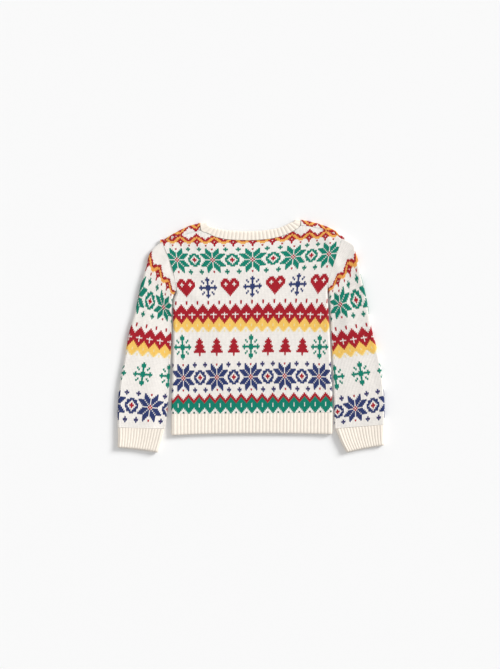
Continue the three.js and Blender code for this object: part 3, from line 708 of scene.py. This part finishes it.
def backTop(x):
    rows = [{"x": s["seamX"], "y": s["seamY"] - lay["shoulderGap"]} for s in shoulders]
    rows = rows[:leftShoulderRows] + besideNeck(backNeck) + rows[leftShoulderRows:]
    return np.interp(x, column(rows, "x"), column(rows, "y"))


# A body panel's points on its layer, with its sides rolled round to mid-height
def bodyPoint(u, v, depth, isUpper, stretch):
    x, y = bodyPlan(u - bodyKnit["columns"] / 2, v, stretch)
    left, right = edgeX("left", y), edgeX("right", y)
    leftRoll, rightRoll = rollOf("left", y), rollOf("right", y)
    fromLeft = x - left + arcGain * leftRoll
    fromRight = right - x + arcGain * rightRoll
    plainX = np.clip(x, left, right)
    face = upperFace(plainX, y, np.minimum(plainX - left, right - plainX))
    inLeft, zLeft = rolled(fromLeft, depth, face, isUpper, leftRoll)
    inRight, zRight = rolled(fromRight, depth, face, isUpper, rightRoll)
    nearLeft = fromLeft < fromRight
    xLeft = left + leftRoll * inLeft + (1 - leftRoll) * fromLeft
    xRight = right - rightRoll * inRight - (1 - rightRoll) * fromRight
    return np.where(nearLeft, xLeft, xRight), y, np.where(nearLeft, zLeft, zRight)


def backPoint(u, v, depth):
    return bodyPoint(u, v, depth, True, 0.0)


print("back panel")
back = knitShell("backPanel", bodyKnit["columns"], bodyKnit["courses"], plainStitch, backPoint,
                 bodyChart, limits=bodyLimits(backTop, 0.0))


# The front's shoulder folds and seams, as heights in plan above a place across the chest
def foldY(x):
    return np.interp(x, column(shoulders, "foldX"), column(shoulders, "foldY"))


def seamY(x):
    return np.interp(x, column(shoulders, "seamX"), column(shoulders, "seamY"))


shoulderRadius = layerTop / 2


def frontTop(x):
    over = foldY(x) - shoulderRadius + math.pi * shoulderRadius
    over += foldY(x) - shoulderRadius - seamY(x)
    left, right = scoopEnds["leftX"], scoopEnds["rightX"]
    rows = [{"x": left, "y": scoopEnds["leftY"]}] + besideNeck(frontNeck)
    rows.append({"x": right, "y": scoopEnds["rightY"]})
    scoop = np.interp(x, column(rows, "x"), column(rows, "y"))
    return np.where((x > left) & (x < right), scoop, over)


def frontPoint(u, v, depth):
    x, y, z = bodyPoint(u, v, depth, False, 1.0)
    fold = foldY(x)
    start = fold - shoulderRadius
    arc = np.clip(y - start, 0, math.pi * shoulderRadius)
    past = np.maximum(0, y - start - math.pi * shoulderRadius)
    turn = arc / shoulderRadius
    flapY = start + (shoulderRadius - depth) * np.sin(turn) - past
    top = upperFace(x, flapY, farFromFold)
    flapZ = top / 2 - (top / 2 - depth) * np.cos(turn)
    isOver = y > start
    return x, np.where(isOver, flapY, y), np.where(isOver, flapZ, z)


print("front panel")
front = knitShell("frontPanel", bodyKnit["columns"], bodyKnit["courses"], plainStitch, frontPoint,
                  bodyChart, limits=bodyLimits(frontTop, 1.0))

# Sleeves: the edge beside the body and the outer edge, from the armhole down to the cuff, with
# how far each section still follows the armhole's curve
sleeveKnit = {"columns": 78, "courses": 106}
sleeveEdges = {
    "left": table("bodyX bodyY outerX outerY cap", [
        (-129.4, 81.0, -155.3, 165.6, 1.0),
        (-135.2, 71.1, -171.2, 152.4, 0.8),
        (-137.9, 56.2, -182.8, 122.0, 0.5),
        (-138.4, 35.2, -191.5, 92.9, 0.2),
        (-138.6, 8.9, -201.7, 46.6, 0.0),
        (-139.2, -17.3, -211.8, 10.7, 0.0),
        (-140.8, -52.3, -220.6, -37.3, 0.0),
        (-142.6, -90.8, -229.3, -83.6, 0.0),
        (-146.3, -132.8, -232.8, -129.4, 0.0),
        (-149.5, -161.7, -233.4, -159.4, 0.0),
    ]),
    "right": table("bodyX bodyY outerX outerY cap", [
        (134.0, 84.2, 159.7, 171.3, 1.0),
        (136.4, 70.2, 172.8, 165.6, 0.8),
        (137.4, 54.4, 183.0, 145.3, 0.5),
        (139.0, 31.7, 192.6, 105.2, 0.2),
        (140.4, 5.4, 202.4, 63.2, 0.0),
        (141.6, -20.8, 210.4, 15.7, 0.0),
        (143.2, -55.8, 225.0, -42.1, 0.0),
        (144.6, -94.3, 231.6, -88.8, 0.0),
        (145.6, -132.8, 233.7, -128.1, 0.0),
        (145.9, -161.5, 233.4, -154.4, 0.0),
    ]),
}

# Where the sleeve's course lines meet its two edges, counted up from the cuff, and how many
# of the stitches round it lie on the upper layer there
sleeveLines = {
    "left": table("line bodyY outerY onTop", [
        (0, -161.7, -159.4, 38),
        (12.5, -128.0, -117.9, 36.6),
        (33.5, -70.2, -64.0, 35),
        (55.5, -11.0, 0.0, 35.2),
        (77.5, 44.4, 69.6, 34.5),
        (94, 76.0, 138.4, 36),
        (106, 81.0, 165.6, 38),
    ]),
    "right": table("line bodyY outerY onTop", [
        (0, -161.5, -154.4, 39),
        (12.5, -133.1, -117.2, 38.8),
        (33.5, -72.2, -59.7, 35.7),
        (55.5, -10.5, -0.5, 34),
        (77.5, 50.4, 68.2, 32),
        (94, 79.5, 143.0, 35),
        (106, 84.2, 171.3, 38),
    ]),
}


# Places on an armhole's curve at shares of its length
def armholeAt(side, share):
    rows = bodyEdges[underarmRow:]
    xs, ys = column(rows, side + "X"), column(rows, side + "Y")
    fineY = np.linspace(ys[0], ys[-1], 120)
    fineX = smoothAt(ys, xs, fineY)
    run = np.concatenate([[0], np.cumsum(np.hypot(np.diff(fineX), np.diff(fineY)))])
    return np.interp(share, run / run[-1], fineX), np.interp(share, run / run[-1], fineY)


# Where each sleeve's motifs stand, in stitches from the outer fold, and how the upper layer
# sinks beside the body, which ends between two places along it
sinkEnds = {"fromY": 20, "toY": 62}
sleeveKinds = {
    "left": {"blueStar": 23, "greenStar": 25, "flake": 15, "diamond": 25, "sink": 3.9, "sinkReach": 21.0},
    "right": {"blueStar": 22, "greenStar": 22, "flake": 15, "diamond": 24, "sink": 2.6, "sinkReach": 17.0},
}


# A flattened tube's point: u runs from the outer edge over the upper layer and back below
def tubePoint(ends, cap, side, onTop, around, u, depth, moveX, rise=0.0, sink=None):
    bodyX, bodyY, outerX, outerY = ends
    width = np.hypot(bodyX - outerX, bodyY - outerY)
    length = width + 2 * arcGain
    isUpper = u <= onTop
    run = np.where(isUpper, u / onTop, (around - u) / (around - onTop)) * length
    fromOuter = run < length / 2
    e = np.where(fromOuter, run, length - run)

    def plan(inward):
        share = np.where(fromOuter, inward, width - inward) / width
        x = outerX + (bodyX - outerX) * share
        y = outerY + (bodyY - outerY) * share
        if side:
            capX, capY = armholeAt(side, 1 - share)
            startX, startY = armholeAt(side, 1.0)
            endX, endY = armholeAt(side, 0.0)
            x = x + cap * (capX - startX - (endX - startX) * share)
            y = y + cap * (capY - startY - (endY - startY) * share)
        return x + moveX, y

    roughX, roughY = plan(np.maximum(0, e - arcGain))
    face = upperFace(roughX, roughY, np.maximum(0, e - arcGain))
    if sink:
        away = length - run
        fade = 1 - smoothStep(bodyY, sinkEnds["fromY"], sinkEnds["toY"])
        face = face - sink["sink"] * np.exp(-((away / sink["sinkReach"]) ** 2)) * fade
    inUpper, zUpper = rolled(e, depth, face, True)
    inLower, zLower = rolled(e, depth, face, False)
    x, y = plan(np.where(isUpper, inUpper, inLower))
    flat = np.clip(e / quarterArc, 0, 1)
    zUpper = zUpper - (1 - flat) * (face / 2 + lay["seamGap"] / 2 - foldRadius)
    zLower = zLower + (1 - flat) * lay["seamGap"] / 2
    return x, y, np.where(isUpper, zUpper + rise, zLower)


def makeSleeve(side):
    edges, lines = sleeveEdges[side], sleeveLines[side]
    move = -lay["seamGap"] / 2 if side == "left" else lay["seamGap"] / 2
    kind = sleeveKinds[side]

    def point(u, v, depth):
        bodyY = smoothAt(column(lines, "line"), column(lines, "bodyY"), v)
        outerY = smoothAt(column(lines, "line"), column(lines, "outerY"), v)
        up = edges[::-1]
        bodyX = smoothAt(column(up, "bodyY"), column(up, "bodyX"), bodyY)
        outerX = smoothAt(column(up, "outerY"), column(up, "outerX"), outerY)
        cap = np.interp(outerY, column(up, "outerY"), column(up, "cap"))
        ends = (bodyX, bodyY, outerX, outerY)
        onTop = smoothAt(column(lines, "line"), column(lines, "onTop"), v)
        return tubePoint(ends, cap, side, onTop, sleeveKnit["columns"], u, depth, move, sink=kind)

    return knitShell(side + "Sleeve", sleeveKnit["columns"], sleeveKnit["courses"], plainStitch,
                     point, sleeveChart(kind), around=True)


print("sleeves")
leftSleeve = makeSleeve("left")
rightSleeve = makeSleeve("right")

# Ribs, standing this much above the plain knit. A hem has count of them in a layer and a cuff
# onTop of them in its upper one. The neck has one in each pitch and corner more at each end. A
# cuff's upper layer is a share shorter at its middle, and lifts there.
ribs = {
    "hem": {"count": 48, "rise": 0.8, "courses": 15, "length": 37, "gapShare": 0.008},
    "cuff": {"onTop": 17, "rise": 0.8, "courses": 15, "length": 42, "shorter": 0.06, "lift": 0.8},
    "neck": {"pitch": 6.7, "rise": 0.7, "courses": 6, "corner": 2},
    "edgeRound": 2.6,  # how far in from a free edge the rib rounds down
    "edgeDrop": 0.9,  # and by how much
}
cuffEnds = {
    "left": table("bodyX bodyY outerX outerY", [
        (-150.6, -162.0, -232.9, -159.8),
        (-156.6, -184.5, -232.5, -178.5),
        (-162.7, -203.9, -233.4, -194.9),
    ]),
    "right": table("bodyX bodyY outerX outerY", [
        (147.4, -161.9, 232.6, -154.8),
        (156.4, -184.0, 232.4, -174.5),
        (167.0, -203.9, 232.9, -190.9),
    ]),
}


# How much a rib's face drops at a distance from its free edge
def edgeDropAt(distance):
    near = np.clip(1 - distance / ribs["edgeRound"], 0, 1)
    return ribs["edgeDrop"] * near**2


def makeCuff(side):
    rows, rib = cuffEnds[side], ribs["cuff"]
    half = rib["onTop"]

    def point(u, v, depth):
        gape = np.sin(math.pi * np.clip(u / half, 0, 1)) ** 0.5
        place = 2 * v / rib["courses"] * (1 - rib["shorter"] * gape)
        ends = [smoothAt([0, 1, 2], column(rows, name), place)
                for name in ("bodyX", "bodyY", "outerX", "outerY")]
        outside = depth < lay["knit"]
        deep = depth + edgeDropAt((1 - v / rib["courses"]) * rib["length"]) * outside
        lift = rib["lift"] * gape * (v / rib["courses"]) ** 3
        return tubePoint(ends, 0, None, half, 2 * half, u, deep, 0.0, rib["rise"] * outside + lift)

    return knitShell(side + "Cuff", 2 * half, rib["courses"], ribStitch, point, around=True)


print("cuffs")
leftCuff = makeCuff("left")
rightCuff = makeCuff("right")


def makeHem(isUpper):
    rib = ribs["hem"]

    def point(u, v, depth):
        down = (v / rib["courses"]) * (1 - rib["gapShare"]) + rib["gapShare"]
        left = hemTop["x"][0] + (hemEdge["x"][0] - hemTop["x"][0]) * down
        right = hemTop["x"][-1] + (hemEdge["x"][-1] - hemTop["x"][-1]) * down
        width = right - left
        length = width + 2 * arcGain
        run = u / rib["count"] * length
        nearLeft = run < length / 2
        e = np.where(nearLeft, run, length - run)
        inPlan = np.maximum(0, e - arcGain)
        x = np.where(nearLeft, left + inPlan, right - inPlan)
        y = smoothAt(hemTop["x"], hemTop["y"], x) * (1 - down)
        y += smoothAt(hemEdge["x"], hemEdge["y"], x) * down
        face = upperFace(x, y, inPlan)
        outside = depth < lay["knit"]
        drop = edgeDropAt((1 - down) * rib["length"]) * outside
        inward, z = rolled(e, depth + drop, face, isUpper)
        x = np.where(nearLeft, left + inward, right - inward)
        if isUpper:
            z = z + rib["rise"] * outside * np.clip(e / quarterArc, 0, 1)
        return x, y, z

    name = "hemRibBack" if isUpper else "hemRibFront"
    return knitShell(name, rib["count"], rib["courses"], ribStitch, point)


print("hem ribs")
hemBack = makeHem(True)
hemFront = makeHem(False)


# Shares of a neck table at even spaces along the middle of its strip
def evenShares(rows):
    fine = np.linspace(0, len(rows) - 1, 600)
    keys = np.arange(len(rows))
    x = smoothAt(keys, (column(rows, "joinX") + column(rows, "freeX")) / 2, fine)
    y = smoothAt(keys, (column(rows, "joinY") + column(rows, "freeY")) / 2, fine)
    run = np.concatenate([[0], np.cumsum(np.hypot(np.diff(x), np.diff(y)))])
    return fine, run


def makeNeckband():
    rib = ribs["neck"]
    backFine, backRun = evenShares(backNeck)
    frontFine, frontRun = evenShares(frontNeck)
    backCount = round(backRun[-1] / rib["pitch"])
    frontCount = round(frontRun[-1] / rib["pitch"])
    corner = rib["corner"]
    total = backCount + frontCount + 2 * corner

    def rowAt(rows, fine, run, share):
        place = np.interp(share * run[-1], run, fine)
        keys = np.arange(len(rows))
        return [smoothAt(keys, column(rows, name), place)
                for name in ("joinX", "joinY", "freeX", "freeY")]

    def point(u, v, depth):
        backShare = np.clip(u / backCount, 0, 1)
        frontShare = 1 - np.clip((u - backCount - corner) / frontCount, 0, 1)
        onBack = u <= backCount
        firstTurn = np.clip((u - backCount) / corner, 0, 1)
        lastTurn = np.clip((u - backCount - corner - frontCount) / corner, 0, 1)
        turn = math.pi * (1 - firstTurn + lastTurn)
        onFront = (u > backCount + corner / 2) & (u < total - corner / 2)
        backRow = rowAt(backNeck, backFine, backRun, np.where(u > total - corner, 0, backShare))
        frontRow = rowAt(frontNeck, frontFine, frontRun, frontShare)
        joinX, joinY, freeX, freeY = [np.where(onFront, f, b) for f, b in zip(frontRow, backRow)]
        across = v / rib["courses"]
        x = joinX + (freeX - joinX) * across
        y = joinY + (freeY - joinY) * across
        outX, outY = joinY - freeY, freeX - joinX
        size = np.hypot(outX, outY) * np.where(outY < 0, -1, 1)
        radius = upperFace(x, y, farFromFold) / 2
        outside = depth < lay["knit"]
        rise = rib["rise"] * outside * np.where(onBack, 1, 0)
        strip = np.hypot(joinX - freeX, joinY - freeY)
        deep = depth + edgeDropAt((1 - across) * strip) * outside
        swing = (radius - deep) * np.sin(turn)
        x, y = x + outX / size * swing, y + outY / size * swing
        return x, y, radius - (radius - deep) * np.cos(turn) + rise

    return knitShell("neckBand", total, rib["courses"], ribStitch, point, around=True)


print("neckband")
neckBand = makeNeckband()


# Materials. One function adds a node with its settings and links.
def addNode(tree, kind, settings=None, **links):
    node = tree.nodes.new(kind)
    for name, value in (settings or {}).items():
        if name in node.inputs:
            node.inputs[name].default_value = value
        else:
            setattr(node, name, value)
    for name, source in links.items():
        tree.links.new(source, node.inputs[name])
    return node


# One arithmetic step on values or on other nodes' outputs
def maths(tree, operation, *values):
    node = tree.nodes.new("ShaderNodeMath")
    node.operation = operation
    for socket, value in zip(node.inputs, values):
        if isinstance(value, (int, float)):
            socket.default_value = value
        else:
            tree.links.new(value, socket)
    return node.outputs[0]


# A narrow peak of 1 at every whole number of a coordinate counted in stitches
def everyStitch(tree, coordinate, power, shift=0.0):
    turn = maths(tree, "MULTIPLY_ADD", coordinate, 2 * math.pi, shift * 2 * math.pi)
    wave = maths(tree, "MULTIPLY_ADD", maths(tree, "COSINE", turn), 0.5, 0.5)
    return maths(tree, "POWER", wave, power)


# The yarn's own look: how fine its fibres and its cloudy patches are, how far each lightens or
# darkens it, and how deep the relief in the bump is
yarnLook = {
    "fibresPerMm": 0.9, "fibreShade": 0.16,
    "cloudsPerMm": 0.16, "cloudShade": 0.14,
    "reliefDepth": 0.4, "reliefStrength": 0.35,
    "shadeRelief": 2.0,  # how much of the stitches' painted shade also goes into the relief
    "wide": 3, "narrow": 5,  # how sharply the painted shade gathers in a line
}


# Soft cotton blend, machine knitted: matt, with a slight pile that catches the light at its
# edges and an uneven, heathered yarn. Shade between the stitches' legs is painted into the
# colour: wale, middle and course say how far this painted shade darkens it between the wales,
# down the middle of each, and where one stitch passes through the next.
def knitMaterial(name, wale, middle, course):
    material = bpy.data.materials.new(name)
    material.use_nodes = True
    tree = material.node_tree
    shader = tree.nodes["Principled BSDF"]
    shader.inputs["Roughness"].default_value = 0.92
    shader.inputs["Specular IOR Level"].default_value = 0.15
    shader.inputs["Sheen Weight"].default_value = 0.15
    shader.inputs["Sheen Roughness"].default_value = 0.5
    yarn = addNode(tree, "ShaderNodeAttribute", {"attribute_name": "yarn"})
    place = addNode(tree, "ShaderNodeUVMap", {"uv_map": "stitchMap"})
    axes = addNode(tree, "ShaderNodeSeparateXYZ", Vector=place.outputs["UV"])
    # Painted shade: the base colour darkens between the wales, down the middle of each and between
    # courses, where shade would fall in the knit's crevices
    between = maths(tree, "MULTIPLY", everyStitch(tree, axes.outputs["X"], yarnLook["wide"]), wale)
    halfway = everyStitch(tree, axes.outputs["X"], yarnLook["narrow"], 0.5)
    centre = maths(tree, "MULTIPLY", halfway, middle)
    through = maths(tree, "MULTIPLY", everyStitch(tree, axes.outputs["Y"], yarnLook["wide"]), course)
    paintedShade = maths(tree, "ADD", maths(tree, "ADD", between, centre), through)
    where = addNode(tree, "ShaderNodeTexCoord")
    uneven = 1.0
    for kind in ("cloud", "fibre"):
        noise = addNode(tree, "ShaderNodeTexNoise",
                        {"Scale": yarnLook[kind + "sPerMm"] / mm, "Detail": 2.0},
                        Vector=where.outputs["Object"])
        size = yarnLook[kind + "Shade"]
        share = maths(tree, "MULTIPLY_ADD", noise.outputs["Fac"], size, -size / 2)
        uneven = maths(tree, "ADD", share, uneven)
    bright = maths(tree, "SUBTRACT", uneven, paintedShade)
    colour = addNode(tree, "ShaderNodeVectorMath", {"operation": "SCALE"})
    tree.links.new(yarn.outputs["Color"], colour.inputs[0])
    tree.links.new(bright, colour.inputs["Scale"])
    tree.links.new(colour.outputs[0], shader.inputs["Base Color"])
    lines = maths(tree, "MULTIPLY", paintedShade, yarnLook["shadeRelief"])
    height = maths(tree, "SUBTRACT", noise.outputs["Fac"], lines)
    depth = {"Strength": yarnLook["reliefStrength"], "Distance": yarnLook["reliefDepth"] * mm}
    relief = addNode(tree, "ShaderNodeBump", depth, Height=height)
    tree.links.new(relief.outputs["Normal"], shader.inputs["Normal"])
    return material


print("materials")
# wale, middle and course set how much painted shade darkens each cloth's colour between its stitches
cloths = {
    "patterned_knit": knitMaterial("cottonBlendKnit", wale=0.14, middle=0.06, course=0.1),
    "cream_rib": knitMaterial("cottonBlendRib", wale=0.1, middle=0.03, course=0.04),
}

pieces = {
    "back_panel": {"piece": back, "flat": (0.292, 0.34), "area": 0.085, "slot": "patterned_knit"},
    "front_panel": {"piece": front, "flat": (0.292, 0.35), "area": 0.083, "slot": "patterned_knit"},
    "left_sleeve": {"piece": leftSleeve, "flat": (0.178, 0.3), "area": 0.045, "slot": "patterned_knit"},
    "right_sleeve": {"piece": rightSleeve, "flat": (0.178, 0.3), "area": 0.045, "slot": "patterned_knit"},
    "neckband": {"piece": neckBand, "flat": (0.44, 0.0155), "area": 0.0066, "slot": "cream_rib"},
    "hem_rib_back": {"piece": hemBack, "flat": (0.287, 0.038), "area": 0.0108, "slot": "cream_rib"},
    "hem_rib_front": {"piece": hemFront, "flat": (0.287, 0.038), "area": 0.0108, "slot": "cream_rib"},
    "left_cuff": {"piece": leftCuff, "flat": (0.168, 0.042), "area": 0.0066, "slot": "cream_rib"},
    "right_cuff": {"piece": rightCuff, "flat": (0.168, 0.042), "area": 0.0066, "slot": "cream_rib"},
}
for node, facts in pieces.items():
    piece = facts["piece"]
    piece.data.materials.append(cloths[facts["slot"]])
    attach(piece, "root")
    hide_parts(node)
    print(node, len(piece.data.polygons))

# The pale floor, the camera straight above and the soft light from the right
picture = {
    "width": 500, "height": 669,
    "pixel": 1.75,  # millimetres on the floor to each pixel
    "middleX": 250.95, "middleY": 336.1,  # the pixel above the frame's origin
    "lens": 100.0, "sensor": 36.0,
    "floorReach": 2500.0,  # from the middle to each side
    "floorGrey": 0.9,
}

light = {
    "bearing": 33.0,  # degrees round from the right-hand side
    "height": 27.5,  # degrees above the floor
    "softness": 22.0,  # how wide the lamp looks, in degrees
    "key": 3.04, "fill": 0.61,
    "stand": 3000.0,  # how far off the lamp stands
}


def makeFloor():
    floorMesh = bpy.data.meshes.new("floor")
    reach = picture["floorReach"] * mm
    corners = [(-reach, -reach, 0), (reach, -reach, 0), (reach, reach, 0), (-reach, reach, 0)]
    floorMesh.from_pydata(corners, [], [(0, 1, 2, 3)])
    floor = bpy.data.objects.new("floor", floorMesh)
    bpy.context.scene.collection.objects.link(floor)
    material = bpy.data.materials.new("paperFloor")
    material.use_nodes = True
    shader = material.node_tree.nodes["Principled BSDF"]
    shader.inputs["Base Color"].default_value = [picture["floorGrey"]] * 3 + [1]
    shader.inputs["Roughness"].default_value = 0.9
    floorMesh.materials.append(material)


def makeCamera():
    camera = bpy.data.cameras.new("camera")
    camera.lens = picture["lens"]
    camera.sensor_width = camera.sensor_height = picture["sensor"]
    camera.sensor_fit = "VERTICAL"
    cameraObject = bpy.data.objects.new("camera", camera)
    tall = picture["height"] * picture["pixel"] * mm
    x = (picture["width"] / 2 - picture["middleX"]) * picture["pixel"] * mm
    y = (picture["middleY"] - picture["height"] / 2) * picture["pixel"] * mm
    cameraObject.location = (x, y, tall * picture["lens"] / picture["sensor"])
    bpy.context.scene.collection.objects.link(cameraObject)
    bpy.context.scene.camera = cameraObject


def makeLight():
    world = bpy.data.worlds.new("studio")
    world.use_nodes = True
    world.node_tree.nodes["Background"].inputs["Color"].default_value = (1, 1, 1, 1)
    world.node_tree.nodes["Background"].inputs["Strength"].default_value = light["fill"]
    bpy.context.scene.world = world
    lamp = bpy.data.lights.new("softKey", "SUN")
    lamp.energy = light["key"]
    lamp.angle = math.radians(light["softness"])
    lampObject = bpy.data.objects.new("softKey", lamp)
    bearing, height = math.radians(light["bearing"]), math.radians(light["height"])
    place = Vector((math.cos(bearing) * math.cos(height), math.sin(bearing) * math.cos(height),
                    math.sin(height)))
    lampObject.location = place * light["stand"] * mm
    lampObject.rotation_euler = (-place).to_track_quat("-Z", "Y").to_euler()
    bpy.context.scene.collection.objects.link(lampObject)


print("stage")
makeFloor()
makeCamera()
makeLight()
bpy.context.scene.view_settings.view_transform = "Standard"
